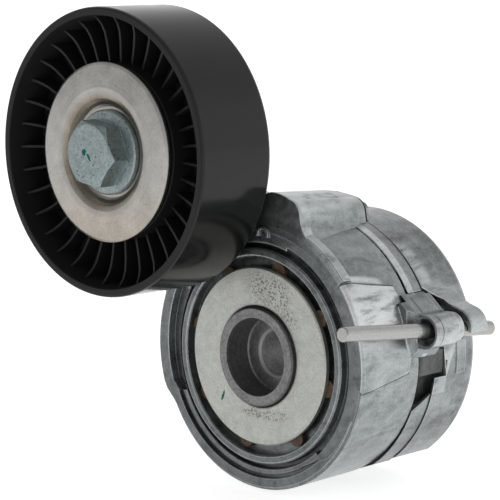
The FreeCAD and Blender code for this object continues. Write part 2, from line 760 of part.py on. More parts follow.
def bearing_inner_race():
    """Inner race with its ball groove."""
    back = BEARING_FRONT + BEARING_WIDTH
    ring = turned([
        (BEARING_BORE_R, BEARING_FRONT + 0.4),
        (BEARING_BORE_R + 0.4, BEARING_FRONT),
        (11.4, BEARING_FRONT),
        (11.4, back),
        (BEARING_BORE_R + 0.4, back),
        (BEARING_BORE_R, back - 0.4),
    ], PULLEY_X, PULLEY_Z)
    return ring.cut(ball_groove())


# ---- Pulley and what spins with it ----

def ball_groove():
    """Ring that cuts the ball groove in a race."""
    centre = Vector(PULLEY_X, at(BEARING_FRONT + BEARING_WIDTH / 2), PULLEY_Z)
    return Part.makeTorus(BALL_PITCH_R, BALL_R + RACE_CLEARANCE, centre, Y_AXIS)


def bearing_outer_race():
    """Outer race, moulded into the pulley's hub."""
    back = BEARING_FRONT + BEARING_WIDTH
    ring = tube(BEARING_OUTER_R, 17.2, BEARING_FRONT, back, PULLEY_X, PULLEY_Z)
    return ring.cut(ball_groove())


def bearing_balls():
    """The bearing's balls, as one group."""
    balls = []
    for index in range(BALL_COUNT):
        turn = 2 * math.pi * index / BALL_COUNT
        x = PULLEY_X + BALL_PITCH_R * math.cos(turn)
        z = PULLEY_Z + BALL_PITCH_R * math.sin(turn)
        balls.append(Part.makeSphere(BALL_R, Vector(x, at(BEARING_FRONT + BEARING_WIDTH / 2), z)))
    return Part.makeCompound(balls)


def bearing_cage():
    """Ring that spaces the balls."""
    middle = BEARING_FRONT + BEARING_WIDTH / 2
    ring = tube(15.3, 13.2, middle - 4.2, middle + 4.2, PULLEY_X, PULLEY_Z)
    for index in range(BALL_COUNT):
        turn = 2 * math.pi * index / BALL_COUNT
        outward = Vector(math.cos(turn), 0, math.sin(turn))
        start = Vector(PULLEY_X, at(middle), PULLEY_Z) + outward * 10.0
        ring = ring.cut(Part.makeCylinder(BALL_R + RACE_CLEARANCE, 8.0, start, outward))
    return ring


def bearing_seal(front):
    """Rubber-faced seal between the races, fixed in the outer race."""
    return tube(17.2, 11.6, front, front + 0.9, PULLEY_X, PULLEY_Z)


def pulley():
    """Moulded pulley: smooth rim, web with thin radial ribs, and hub round the bearing."""
    web_front = PULLEY_FRONT + 12.0
    web_back = web_front + 3.0
    hub_front = BEARING_FRONT - 0.5
    hub_back = BEARING_FRONT + BEARING_WIDTH + 1.5
    race_lip_r = 18.9
    body = turned([
        (race_lip_r, hub_front),
        (PULLEY_HUB_R - 0.3, hub_front),
        (PULLEY_HUB_R, hub_front + 0.3),
        (PULLEY_HUB_R + 0.4, web_front),
        (RIM_INNER_R - 0.4, web_front),
        (RIM_INNER_R, PULLEY_FRONT + 0.2),
        (RIM_INNER_R + 0.2, PULLEY_FRONT),
        (PULLEY_R - 0.7, PULLEY_FRONT),
        (PULLEY_R - 0.2, PULLEY_FRONT + 0.25),
        (PULLEY_R, PULLEY_FRONT + 0.8),
        (PULLEY_R, PULLEY_BACK - 0.8),
        (PULLEY_R - 0.2, PULLEY_BACK - 0.25),
        (PULLEY_R - 0.7, PULLEY_BACK),
        (RIM_INNER_R, PULLEY_BACK),
        (RIM_INNER_R - 0.4, web_back),
        (PULLEY_HUB_R + 0.4, web_back),
        (PULLEY_HUB_R, hub_back),
        (race_lip_r, hub_back),
        (race_lip_r, BEARING_FRONT + BEARING_WIDTH),
        (BEARING_OUTER_R, BEARING_FRONT + BEARING_WIDTH),
        (BEARING_OUTER_R, BEARING_FRONT),
        (race_lip_r, BEARING_FRONT),
    ], PULLEY_X, PULLEY_Z)
    inner = PULLEY_HUB_R - 0.6
    outer = RIM_INNER_R + 0.3
    front_rib = [(inner, PULLEY_FRONT + 7.6), (28.5, PULLEY_FRONT + 7.4), (31.5, PULLEY_FRONT + 7.0),
                 (33.5, PULLEY_FRONT + 6.2), (35.0, PULLEY_FRONT + 5.0), (outer, PULLEY_FRONT + 3.6),
                 (outer, web_front + 1), (inner, web_front + 1)]
    back_rib = [(inner, web_back - 1), (outer, web_back - 1), (outer, PULLEY_BACK - 2.0),
                (inner, hub_back - 1.0)]
    ribs = []
    for index in range(RIB_COUNT):
        ribs.append(rib(front_rib, RIB_START + 360.0 * index / RIB_COUNT))
    for index in range(BACK_RIB_COUNT):
        ribs.append(rib(back_rib, RIB_START + 360.0 * index / BACK_RIB_COUNT))
    return body.fuse(ribs).removeSplitter()


def rib(outline, degrees):
    """Thin radial rib of the pulley from its (radius, depth) outline."""
    points = [Vector(radius, at(depth), -RIB_THICKNESS / 2) for radius, depth in outline]
    plate = Part.Face(Part.makePolygon(points + points[:1])).extrude(Vector(0, 0, RIB_THICKNESS))
    plate = plate.rotated(Vector(0, 0, 0), Y_AXIS, -degrees)
    plate.translate(Vector(PULLEY_X, 0, PULLEY_Z))
    return plate


os.makedirs("parts", exist_ok=True)

save("spring_case", spring_case())
save("pivot_tube", pivot_tube())
save("front_plate", front_plate())
save("rear_thrust_ring", rear_thrust_ring())
save("locating_dowel", locating_dowel())
save("torsion_spring", torsion_spring())
save("arm", arm())
save("pivot_bushing", pivot_bushing())
save("thrust_washer", thrust_washer())
save("damping_sleeve", damping_sleeve())
save("thread_insert", thread_insert())
save("pulley_bolt", pulley_bolt())
save("front_dust_shield", front_dust_shield())
save("rear_dust_shield", rear_dust_shield())
save("bearing_inner_race", bearing_inner_race())
save("bearing_outer_race", bearing_outer_race())
save("bearing_balls", bearing_balls())
save("bearing_cage", bearing_cage())
save("front_bearing_seal", bearing_seal(BEARING_FRONT + 0.3))
save("rear_bearing_seal", bearing_seal(BEARING_FRONT + BEARING_WIDTH - 1.2))
save("pulley", pulley())
save("lock_pin", lock_pin())
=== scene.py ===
"""Looks for the belt tensioner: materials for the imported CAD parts, studio light and camera."""
import math

import bpy
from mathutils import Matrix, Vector


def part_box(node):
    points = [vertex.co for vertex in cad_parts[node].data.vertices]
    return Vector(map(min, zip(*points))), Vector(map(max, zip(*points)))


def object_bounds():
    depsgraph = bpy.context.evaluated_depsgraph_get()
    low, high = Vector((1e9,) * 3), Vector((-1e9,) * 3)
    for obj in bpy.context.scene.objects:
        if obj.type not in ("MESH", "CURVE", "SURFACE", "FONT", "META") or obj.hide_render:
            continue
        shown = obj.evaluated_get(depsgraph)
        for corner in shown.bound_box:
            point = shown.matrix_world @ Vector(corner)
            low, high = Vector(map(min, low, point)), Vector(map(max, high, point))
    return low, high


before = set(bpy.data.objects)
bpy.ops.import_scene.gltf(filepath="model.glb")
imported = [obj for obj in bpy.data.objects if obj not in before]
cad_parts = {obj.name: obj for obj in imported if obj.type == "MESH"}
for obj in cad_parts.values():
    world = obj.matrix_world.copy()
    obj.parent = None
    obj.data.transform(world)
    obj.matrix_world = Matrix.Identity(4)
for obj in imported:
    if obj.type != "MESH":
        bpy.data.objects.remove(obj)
cad_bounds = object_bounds()

MM = 0.001

# Camera, in the frame's own metres: it looks at the middle of the view from the front right.
CAMERA_TARGET = Vector((22.723, -75.0, 33.147)) * MM
CAMERA_DISTANCE = 558.49 * MM
CAMERA_AZIMUTH = 43.488
CAMERA_ELEVATION = 7.865
CAMERA_LENS = 163.79
SENSOR = 36.0

# Light from the surroundings: dimmer in front and overhead, bright behind; the floor glows too.
FRONT_LIGHT = 0.64
BACK_LIGHT = 1.05
HIGH_SHARE = 0.62
FLOOR_GLOW = 0.74
FLOOR_LEVEL = 0.70
FLOOR_SIZE = 60.0               # metres

# Places in the frame, in millimetres. A radius is about the pivot or the pulley's axis, and a depth
# counts backwards from the front plate's face.
PLATE_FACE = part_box("front_plate")[0].y / MM
PULLEY_LOW, PULLEY_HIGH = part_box("pulley")
PULLEY_X = (PULLEY_LOW.x + PULLEY_HIGH.x) / 2 / MM
PULLEY_Z = (PULLEY_LOW.z + PULLEY_HIGH.z) / 2 / MM
PULLEY_R = (PULLEY_HIGH.x - PULLEY_LOW.x) / 2 / MM
PULLEY_FRONT = PULLEY_LOW.y / MM - PLATE_FACE
LUG_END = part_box("arm")[1].x / MM
HUB_R = 13.6                    # the tube's end, in the middle of the front plate
TUBE_CHAMFER_R = 12.8
TUBE_RECESS_R = 10.4
TUBE_BORE_R = 5.3
RIB_START_R = 23.9
CONE_START_R = 12.4             # slope of the shield's dish
CONE_END_R = 15.2
ARM_WALL_R = 35.6
CASE_WALL_R = 34.9
CASE_INSIDE_R = 34.0
NECK_R = 38.0
GROOVE_FRONT = 22.4             # gap in the arm's wall, in depth
GROOVE_BACK = 23.1
GROOVE_TOP = 66.0               # degrees, where the neck covers the gap
BEAD_BACK = 4.1
BAND_EDGE = 28.15               # the arm's rear edge, painted dark as shade in the gap against the case
CASE_EDGE = 29.5
BAND_FROM = 28.0                # degrees, where the arm's band starts above the lug
LUG_FACE = 16.5

# The arm's side pad: its upper and lower edges, in degrees, slant with the depth. The facet
# beside the case's window has a slanted edge too.
PAD_TOP = 37.5
PAD_TOP_START = 38.6
PAD_TOP_SLANT = -0.29           # degrees per millimetre of depth
PAD_LOW_START = -8.85
PAD_LOW_SLANT = 0.30
PAD_BACK = 18.7
PAD_FACE_R = 36.65
FACET_FRONT = 34.2
FACET_START = 36.636
FACET_SLANT = 0.29              # millimetres of depth per degree


# ---- Node material helper ----

class Shader:
    """Small builder for one procedural material; its methods return output sockets.

    Lengths are millimetres and angles are degrees.
    """

    def __init__(self, name):
        self.material = bpy.data.materials.new(name)
        self.material.use_nodes = True
        self.tree = self.material.node_tree
        self.bsdf = self.tree.nodes["Principled BSDF"]
        self.place = self.tree.nodes.new("ShaderNodeTexCoord")
        self.point = self.scaled(self.place.outputs["Object"], 1.0 / MM)

    def node(self, kind, **settings):
        made = self.tree.nodes.new("ShaderNode" + kind)
        for key, value in settings.items():
            setattr(made, key, value)
        return made

    def feed(self, socket, value):
        """Connects a socket, or stores a plain number or colour on it."""
        if isinstance(value, bpy.types.NodeSocket):
            self.tree.links.new(value, socket)
        else:
            socket.default_value = value

    def math(self, operation, first, second=0.0):
        made = self.node("Math", operation=operation)
        self.feed(made.inputs[0], first)
        self.feed(made.inputs[1], second)
        return made.outputs[0]

    def scaled(self, vector, factor):
        made = self.node("VectorMath", operation="SCALE")
        self.feed(made.inputs[0], vector)
        made.inputs["Scale"].default_value = factor
        return made.outputs[0]

    def moved(self, by=(0, 0, 0), turn=(0, 0, 0), stretch=(1, 1, 1)):
        """The point after stretch, turn and move, in that order."""
        made = self.node("Mapping", vector_type="POINT")
        self.feed(made.inputs["Vector"], self.point)
        made.inputs["Location"].default_value = by
        made.inputs["Rotation"].default_value = [math.radians(angle) for angle in turn]
        made.inputs["Scale"].default_value = stretch
        return made.outputs[0]

    def split(self, vector):
        made = self.node("SeparateXYZ")
        self.feed(made.inputs[0], vector)
        return made.outputs

    def facing_front(self):
        """1 on faces that look along -Y."""
        _, across, _ = self.split(self.place.outputs["Normal"])
        return self.step(across, -0.5, -0.85)

    def noise(self, size, detail=3.0, roughness=0.55, vector=None, distortion=0.0):
        """Noise around 0.5 whose features are about that size."""
        made = self.node("TexNoise", noise_dimensions="3D")
        self.feed(made.inputs["Vector"], self.point if vector is None else vector)
        made.inputs["Scale"].default_value = 1.0 / size
        made.inputs["Detail"].default_value = detail
        made.inputs["Roughness"].default_value = roughness
        made.inputs["Distortion"].default_value = distortion
        return made.outputs["Fac"]

    def specks(self, spacing, size, share):
        """Scattered round dots; about that share of the places has one."""
        made = self.node("TexVoronoi", feature="F1")
        self.feed(made.inputs["Vector"], self.point)
        made.inputs["Scale"].default_value = 1.0 / spacing
        chosen, _, _ = self.split(made.outputs["Color"])
        reach = self.math("MULTIPLY", self.step(chosen, share, share * 0.3), size / spacing)
        return self.step(self.math("SUBTRACT", made.outputs["Distance"], reach), 0.0, -0.12)

    def step(self, value, low, high):
        """Smooth 0 to 1 as value goes from low to high; low above high turns it round."""
        made = self.node("MapRange", interpolation_type="SMOOTHSTEP")
        self.feed(made.inputs["Value"], value)
        falling = low > high
        made.inputs["From Min"].default_value = min(low, high)
        made.inputs["From Max"].default_value = max(low, high)
        made.inputs["To Min"].default_value = 1.0 if falling else 0.0
        made.inputs["To Max"].default_value = 0.0 if falling else 1.0
        return made.outputs["Result"]

    def between(self, value, low, high, soft):
        """1 inside the range and 0 outside, with soft edges."""
        return self.math("MULTIPLY", self.step(value, low - soft, low + soft),
                         self.step(value, high + soft, high - soft))

    def all_of(self, *masks):
        result = masks[0]
        for mask in masks[1:]:
            result = self.math("MULTIPLY", result, mask)
        return result

    def any_of(self, *masks):
        result = masks[0]
        for mask in masks[1:]:
            result = self.math("MAXIMUM", result, mask)
        return result

    def share(self, mask, strength):
        """The mask at that strength."""
        return self.math("MULTIPLY", mask, strength)

    def line(self, value, slope, start):
        """start + slope * value"""
        return self.math("ADD", self.math("MULTIPLY", value, slope), start)

    def total(self, base, *parts):
        """base plus each (noise, weight), where a noise counts from its middle value."""
        result = base
        for noise, weight in parts:
            change = self.math("MULTIPLY", self.math("SUBTRACT", noise, 0.5), weight)
            result = self.math("ADD", result, change)
        return result

    def blend(self, factor, first, second):
        """Number between first and second."""
        made = self.node("Mix", data_type="FLOAT")
        self.feed(made.inputs["Factor"], factor)
        for name, value in (("A", first), ("B", second)):
            socket = [s for s in made.inputs if s.name == name and s.type == "VALUE"][0]
            self.feed(socket, value)
        return [s for s in made.outputs if s.type == "VALUE"][0]

    def mix(self, factor, first, second):
        """Colour between first and second."""
        made = self.node("Mix", data_type="RGBA")
        self.feed(made.inputs["Factor"], factor)
        for name, value in (("A", first), ("B", second)):
            socket = [s for s in made.inputs if s.name == name and s.type == "RGBA"][0]
            self.feed(socket, value if isinstance(value, bpy.types.NodeSocket) else (*value, 1.0))
        return [s for s in made.outputs if s.type == "RGBA"][0]

    def tinted(self, level, tint):
        """Colour of that brightness and tint."""
        return self.mix(level, (0.0, 0.0, 0.0), tint)

    def bump(self, height, depth, strength=1.0, base=None):
        """Normal from a height map of 0 to 1 that stands for that depth."""
        made = self.node("Bump")
        made.inputs["Strength"].default_value = strength
        made.inputs["Distance"].default_value = depth * MM
        self.feed(made.inputs["Height"], height)
        if base is not None:
            self.feed(made.inputs["Normal"], base)
        return made.outputs[0]

    def rounded(self, radius):
        """Normal as if every edge had that radius."""
        made = self.node("Bevel", samples=4)
        made.inputs["Radius"].default_value = radius * MM
        return made.outputs[0]

    def edge_highlight(self, rounded_normal, crevice):
        """1 along outer edges, from how far the rounded normal leaves the plain one."""
        plain = self.node("NewGeometry").outputs["Normal"]
        product = self.node("VectorMath", operation="DOT_PRODUCT")
        self.feed(product.inputs[0], plain)
        self.feed(product.inputs[1], rounded_normal)
        return self.math("MULTIPLY", self.step(product.outputs["Value"], 0.985, 0.93),
                         self.step(crevice, 0.6, 0.85))

    def crevice(self, reach):
        """Near 0 in grooves and corners, 1 on open surfaces."""
        made = self.node("AmbientOcclusion", samples=4, only_local=True)
        made.inputs["Distance"].default_value = reach * MM
        return made.outputs["AO"]

    def around(self, centre_x=0.0, centre_z=0.0):
        """(radius, angle, depth behind the front plate) about an axis along Y."""
        x, y, z = self.split(self.moved(by=(-centre_x, 0.0, -centre_z)))
        squares = self.math("ADD", self.math("MULTIPLY", x, x), self.math("MULTIPLY", z, z))
        angle = self.math("DEGREES", self.math("ARCTAN2", z, x))
        return self.math("SQRT", squares), angle, self.math("SUBTRACT", y, PLATE_FACE)

    def near(self, x, z, wide, tall, turn=0.0):
        """Distance from (x, z), as a share of an ellipse's half width and half height."""
        made = self.node("Mapping", vector_type="TEXTURE")
        self.feed(made.inputs["Vector"], self.point)
        made.inputs["Location"].default_value = (x, 0.0, z)
        made.inputs["Rotation"].default_value = (0.0, math.radians(turn), 0.0)
        across, _, up = self.split(made.outputs[0])
        across = self.math("DIVIDE", across, wide)
        up = self.math("DIVIDE", up, tall)
        squares = self.math("ADD", self.math("MULTIPLY", across, across), self.math("MULTIPLY", up, up))
        return self.math("SQRT", squares)

    def dab(self, x, z, wide, tall, turn=0.0, rough=0.5):
        """Ragged stroke of paint on a face that looks along Y."""
        reach = self.total(self.near(x, z, wide, tall, turn), (self.noise(rough, 2.0), 1.4))
        return self.step(reach, 1.05, 0.85)

    def finish(self, colour, roughness, metallic=0.0, normal=None, **constants):
        self.feed(self.bsdf.inputs["Base Color"], colour)
        self.feed(self.bsdf.inputs["Roughness"], roughness)
        self.bsdf.inputs["Metallic"].default_value = metallic
        if normal is not None:
            self.feed(self.bsdf.inputs["Normal"], normal)
        for key, value in constants.items():
            self.bsdf.inputs[key.replace("_", " ")].default_value = value
        return self.material


# ---- Materials ----

# Tints that a level of grey is multiplied by
COOL = (0.925, 1.0, 1.0)
BARE = (0.965, 1.0, 1.0)
PLAIN = (1.0, 1.0, 1.0)
WARM = (1.0, 0.975, 0.92)
STRAW = (1.0, 0.86, 0.70)
GREEN_PAINT = (0.0, 0.085, 0.075)


def cast_aluminium(name, base, areas):
    """Die-cast skin: fine mottled blue-grey, trimmed places, painted shade on front faces, inside and in
    crevices, painted highlights along outer edges and in places, dark parting line and painted shade lines.

    areas() returns masks for trimmed places with painted highlights (bright), painted shade (dark), and the
    parting line with painted shade lines (black).
    """
    s = Shader(name)
    drift = s.noise(15.0, 2.0, 0.5)
    mottle = s.noise(3.2, 4.0, 0.5, distortion=0.9)
    flow = s.noise(5.5, 5.0, 0.55, s.moved(stretch=(1.0, 0.35, 1.0)), 1.4)
    grain = s.noise(0.55, 3.0, 0.7)
    streaks = s.noise(2.6, 5.0, 0.62, s.moved(turn=(0, 20, 35), stretch=(1.0, 0.28, 1.0)), 0.5)
    trimmed_and_highlit, painted_shade, seam_and_shade_lines = areas(s)
    ragged = s.step(s.total(0.5, (streaks, 0.8), (flow, 0.8)), 0.28, 0.50)
    trimmed_and_highlit = s.math("MULTIPLY", trimmed_and_highlit, ragged)
    crevice = s.crevice(2.2)
    rounded = s.rounded(0.45)
    pits = s.all_of(s.specks(1.6, 0.22, 0.5), s.step(s.noise(7.0, 2.0), 0.52, 0.62))

    skin = s.total(base, (drift, 0.22), (mottle, 0.26), (flow, 0.40), (grain, 0.28))
    bare = s.total(0.66, (streaks, 0.50), (flow, 0.40), (grain, 0.30))
    level = s.blend(trimmed_and_highlit, skin, bare)
    # Painted shade on front faces, round the lug and inside the case.
    level = s.math("MULTIPLY", level, s.blend(painted_shade, 1.0, 0.48))
    # Painted shade: darker in grooves and corners, from ambient occlusion, except on trimmed places.
    open_surface = s.any_of(s.step(crevice, 0.25, 0.85), trimmed_and_highlit)
    level = s.math("MULTIPLY", level, s.blend(open_surface, 0.35, 1.0))
    # Painted highlight along outer edges.
    level = s.math("ADD", level, s.share(s.edge_highlight(rounded, crevice), 0.38))
    # Black for casting pits, the parting line and painted shade lines.
    level = s.blend(s.any_of(s.share(pits, 0.8), seam_and_shade_lines), level, 0.015)

    colour = s.mix(trimmed_and_highlit, s.tinted(level, COOL), s.tinted(level, BARE))
    rough = s.blend(trimmed_and_highlit, s.total(0.32, (flow, 0.35)), s.total(0.28, (streaks, 0.2)))
    height = s.total(0.5, (grain, 0.4), (mottle, 0.6), (streaks, 0.3))
    return s.finish(colour, rough, 0.90, s.bump(height, 0.07, 0.8, rounded))


def arm_areas(s):
    """Trimmed places with painted highlights, painted shade, and the parting line with painted shade lines
    on the arm.
    """
    radius, angle, depth = s.around()
    x, _, z = s.split(s.point)
    facing = s.facing_front()
    wall = s.step(radius, ARM_WALL_R - 0.6, ARM_WALL_R)

    # The side pad, with painted shade that keeps it darker below the pin than above it, and a bright patch
    # over its upper edge
    pad_top = s.math("MINIMUM", s.line(depth, PAD_TOP_SLANT, PAD_TOP_START), PAD_TOP)
    above = s.math("SUBTRACT", angle, pad_top)
    below = s.math("SUBTRACT", s.line(depth, PAD_LOW_SLANT, PAD_LOW_START), angle)
    pad = s.all_of(wall, s.step(above, 0.0, -0.4), s.step(below, 0.0, -0.4),
                   s.between(depth, -0.2, PAD_BACK, 0.4),
                   s.step(radius, PAD_FACE_R + 0.25, PAD_FACE_R),
                   s.blend(s.step(angle, 2.0, 20.0), 0.15, 1.0))
    over_pad = s.all_of(wall, s.between(above, 0.7, 3.6, 1.2), s.between(depth, 2.0, 15.0, 1.5))

    # The other trimmed places, and painted highlights on the neck's top and along the raised strip at the
    # front edge
    lug_end = s.all_of(s.step(x, LUG_END - 2.2, LUG_END - 1.2), s.between(depth, 19.0, 31.5, 0.5))
    chamfer = s.all_of(s.between(depth, 23.0, 24.9, 0.25), s.between(radius, 36.2, 37.2, 0.1),
                       s.step(angle, 70.0, 62.0))
    bead_highlight = s.all_of(wall, s.between(depth, 0.2, BEAD_BACK, 0.2), s.between(angle, 38.0, 67.0, 1.0))
    neck_top_highlight = s.all_of(s.step(radius, 40.0, 42.0), s.step(z, 36.0, 40.0), s.step(depth, 0.5, 2.0))
    in_groove = s.all_of(s.between(depth, GROOVE_FRONT - 0.1, GROOVE_BACK + 0.1, 0.1),
                         s.between(radius, ARM_WALL_R, 37.4, 0.1),
                         s.between(angle, 39.0, GROOVE_TOP, 2.0))
    trimmed_and_highlit = s.any_of(pad, over_pad, s.share(lug_end, 0.55), chamfer, in_groove,
                       s.share(neck_top_highlight, 0.55), s.share(bead_highlight, 0.5))

    # Painted shade on the faces that look to the front, less on the neck, and round the lug
    front = s.all_of(facing, s.step(depth, 5.0, 3.5),
                     s.blend(s.step(radius, NECK_R - 1.5, NECK_R), 1.0, 0.6))
    lug_front = s.all_of(facing, s.between(depth, LUG_FACE, LUG_FACE + 4.0, 0.3))
    lug_slope = s.all_of(s.step(radius, PAD_FACE_R, PAD_FACE_R + 0.25),
                         s.between(depth, LUG_FACE - 0.5, LUG_FACE + 3.3, 0.4),
                         s.between(angle, -2.0, 34.0, 2.0))
    painted_shade = s.any_of(front, s.share(s.any_of(lug_front, lug_slope), 0.6))

    # Black lines: painted shade at the pad's edges, behind the raised strip, in the groove and in the gap
    # against the case, and the parting line over the lug
    pad_shade_lines = s.any_of(s.between(above, 0.1, 0.55, 0.15), s.between(below, 0.1, 0.5, 0.15))
    pad_step_shade = s.all_of(wall, pad_shade_lines, s.between(depth, -0.4, PAD_BACK, 0.3))
    bead_step_shade = s.all_of(wall, s.between(depth, BEAD_BACK + 0.05, BEAD_BACK + 0.4, 0.1),
                         s.between(angle, 38.0, 64.0, 0.5))
    groove_shade = s.all_of(s.between(depth, GROOVE_FRONT, GROOVE_BACK, 0.1), s.step(radius, 36.35, 36.15),
                           wall, s.between(angle, BAND_FROM, 36.0, 1.0))
    parting = s.all_of(s.between(depth, 22.0, 22.3, 0.1), s.step(x, 33.0, 33.6), s.step(z, 4.0, 6.0))
    case_gap_shade = s.all_of(s.step(depth, BAND_EDGE - 0.15, BAND_EDGE), wall,
                         s.step(angle, BAND_FROM - 1.0, BAND_FROM + 1.0))
    seam_and_shade_lines = s.any_of(s.share(s.any_of(pad_step_shade, bead_step_shade), 0.75), groove_shade, case_gap_shade,
                    s.share(parting, 0.8))
    return trimmed_and_highlit, painted_shade, seam_and_shade_lines


def case_areas(s):
    """Trimmed places, painted shade inside, and a painted shade line in the gap on the spring case."""
    radius, angle, depth = s.around()
    wall = s.step(radius, CASE_WALL_R - 0.5, CASE_WALL_R)
    beside_window = s.all_of(s.between(angle, -15.5, -7.7, 0.5), s.between(depth, 28.8, 34.5, 0.3))
    facet_edge = s.line(angle, FACET_SLANT, FACET_START)
    facet = s.all_of(s.between(angle, -8.5, 5.5, 0.5), s.step(depth, FACET_FRONT - 0.3, FACET_FRONT),
                     s.step(s.math("SUBTRACT", depth, facet_edge), 0.2, -0.2))
    behind_seam = s.all_of(s.between(angle, 31.0, 52.0, 3.0), s.between(depth, 29.4, 34.0, 1.2))
    tongue = s.all_of(s.step(radius, 35.4, 36.4), s.between(angle, 2.0, 32.0, 3.0))
    bright = s.any_of(s.share(beside_window, 0.3), s.share(s.any_of(facet, behind_seam), 0.6),
                      s.share(tongue, 0.4))
    trimmed_and_highlit = s.all_of(wall, bright)
    # Painted shade on the case's inner surfaces.
    inside = s.share(s.step(radius, CASE_INSIDE_R, CASE_INSIDE_R - 1.1), 0.5)
    # Painted shade line on the case's front edge, in the gap against the arm.
    seam_and_shade_lines = s.all_of(s.facing_front(), s.step(depth, CASE_EDGE + 0.4, CASE_EDGE), s.share(wall, 0.9))
    return trimmed_and_highlit, inside, seam_and_shade_lines


def satin_plate():
    """Ground steel of the front plate: fine grain, clustered black specks, a stroke of green paint, a
    painted shadow round the hub.
    """
    s = Shader("plate_steel")
    radius, _, _ = s.around()
    clouds = s.noise(7.0, 3.0, 0.55)
    grain = s.noise(0.5, 3.0, 0.65)
    blotch = s.noise(2.2, 4.0, 0.65, distortion=0.6)
    # Fine specks crowd over the hub, beside it and under it; a few larger ones lie anywhere.
    upper = s.step(s.near(4.0, 18.0, 11.0, 7.0, 15.0), 1.1, 0.2)
    right = s.step(s.near(9.5, 12.6, 7.5, 3.6, 40.0), 1.1, 0.2)
    under = s.step(s.near(2.5, -15.0, 10.5, 2.0, 0.0), 1.1, 0.5)
    crowd = s.any_of(upper, right, s.share(under, 0.8))
    crowd = s.math("MULTIPLY", crowd, s.step(s.noise(2.2, 3.0), 0.28, 0.50))
    fine = s.any_of(s.specks(0.62, 0.30, 0.9), s.step(s.noise(0.55, 4.0, 0.85), 0.53, 0.585))
    fine = s.math("MULTIPLY", fine, crowd)
    pits = s.any_of(s.share(fine, 0.9), s.share(s.specks(2.4, 0.28, 0.35), 0.6))

    level = s.total(0.425, (clouds, 0.16), (blotch, 0.26), (grain, 0.34))
    level = s.blend(pits, level, 0.06)
    # Painted shadow round the hub's edge.
    hub_shadow = s.step(radius, HUB_R + 0.6, HUB_R)
    level = s.math("MULTIPLY", level, s.blend(hub_shadow, 1.0, 0.45))
    colour = s.tinted(level, (0.985, 1.0, 0.935))
    colour = s.mix(s.dab(-12.8, -12.2, 0.38, 1.5, 22.0), colour, GREEN_PAINT)
    height = s.math("SUBTRACT", grain, pits)
    return s.finish(colour, s.total(0.44, (clouds, 0.2)), 0.9, s.bump(height, 0.03, 0.6))


def sheet_steel():
    """Warm satin sheet of the dust shields, faintly ringed by its pressing, straw-coloured low down, with
    painted shade and reflection on the dish's slope.
    """
    s = Shader("shield_steel")
    radius, _, _ = s.around(PULLEY_X, PULLEY_Z)
    _, _, z = s.split(s.point)
    rings = s.node("TexNoise", noise_dimensions="1D")
    s.feed(rings.inputs["W"], radius)
    rings.inputs["Scale"].default_value = 3.0
    rings.inputs["Detail"].default_value = 4.0
    ring = rings.outputs["Fac"]
    clouds = s.noise(6.0, 4.0, 0.6, distortion=0.4)
    grain = s.noise(0.5, 3.0, 0.6)
    level = s.total(0.36, (clouds, 0.26), (grain, 0.20), (ring, 0.12))
    # Painted shade and reflection on the dish's slope: darker and straw-tinted.
    dish_shade = s.between(radius, CONE_START_R, CONE_END_R, 1.3)
    level = s.math("MULTIPLY", level, s.blend(dish_shade, 1.0, 0.66))
    low = s.step(z, PULLEY_Z - 6.0, PULLEY_Z - 20.0)
    straw = s.any_of(dish_shade, s.share(low, 0.5))
    colour = s.mix(straw, s.tinted(level, WARM), s.tinted(level, STRAW))
    height = s.total(0.5, (ring, 0.4), (grain, 0.6))
    rough = s.total(0.31, (ring, 0.14), (clouds, 0.12))
    return s.finish(colour, rough, 0.95, s.bump(height, 0.02, 0.5, s.rounded(0.4)))


def zinc_bolt():
    """Dull bluish zinc of the pulley bolt, pitted, with dabs of green paint on its head."""
    s = Shader("bolt_zinc")
    clouds = s.noise(2.2, 4.0, 0.6, distortion=0.4)
    grain = s.noise(0.7, 4.0, 0.7)
    level = s.total(0.39, (clouds, 0.34), (grain, 0.50))
    # Painted shade: faces that look to the front are darker than the side facets.
    level = s.math("MULTIPLY", level, s.blend(s.facing_front(), 1.0, 0.76))
    pits = s.all_of(s.specks(0.9, 0.30, 0.9), s.step(s.noise(3.0, 2.0), 0.42, 0.54))
    level = s.blend(s.share(pits, 0.75), level, 0.05)
    colour = s.tinted(level, (0.83, 0.98, 1.0))
    paint = s.any_of(s.dab(PULLEY_X - 1.6, PULLEY_Z + 0.4, 0.8, 0.9),
                     s.dab(PULLEY_X + 0.3, PULLEY_Z - 0.9, 0.4, 1.3, -35.0))
    colour = s.mix(s.all_of(paint, s.facing_front()), colour, GREEN_PAINT)
    height = s.math("SUBTRACT", s.share(grain, 0.5), pits)
    return s.finish(colour, s.total(0.42, (clouds, 0.2)), 0.9, s.bump(height, 0.04, 0.7, s.rounded(0.3)))


def drawn_steel():
    """Satin drawn steel of the pins, with faint lines along Y."""
    s = Shader("pin_steel")
    lines = s.noise(0.35, 2.0, 0.5, s.moved(stretch=(1.0, 0.02, 1.0)))
    grain = s.noise(0.6, 3.0, 0.6)
    colour = s.tinted(s.total(0.40, (lines, 0.10), (grain, 0.20)), (1.0, 0.995, 0.97))
    return s.finish(colour, s.total(0.24, (grain, 0.1)), 0.95, s.bump(grain, 0.01, 0.5, s.rounded(0.2)))


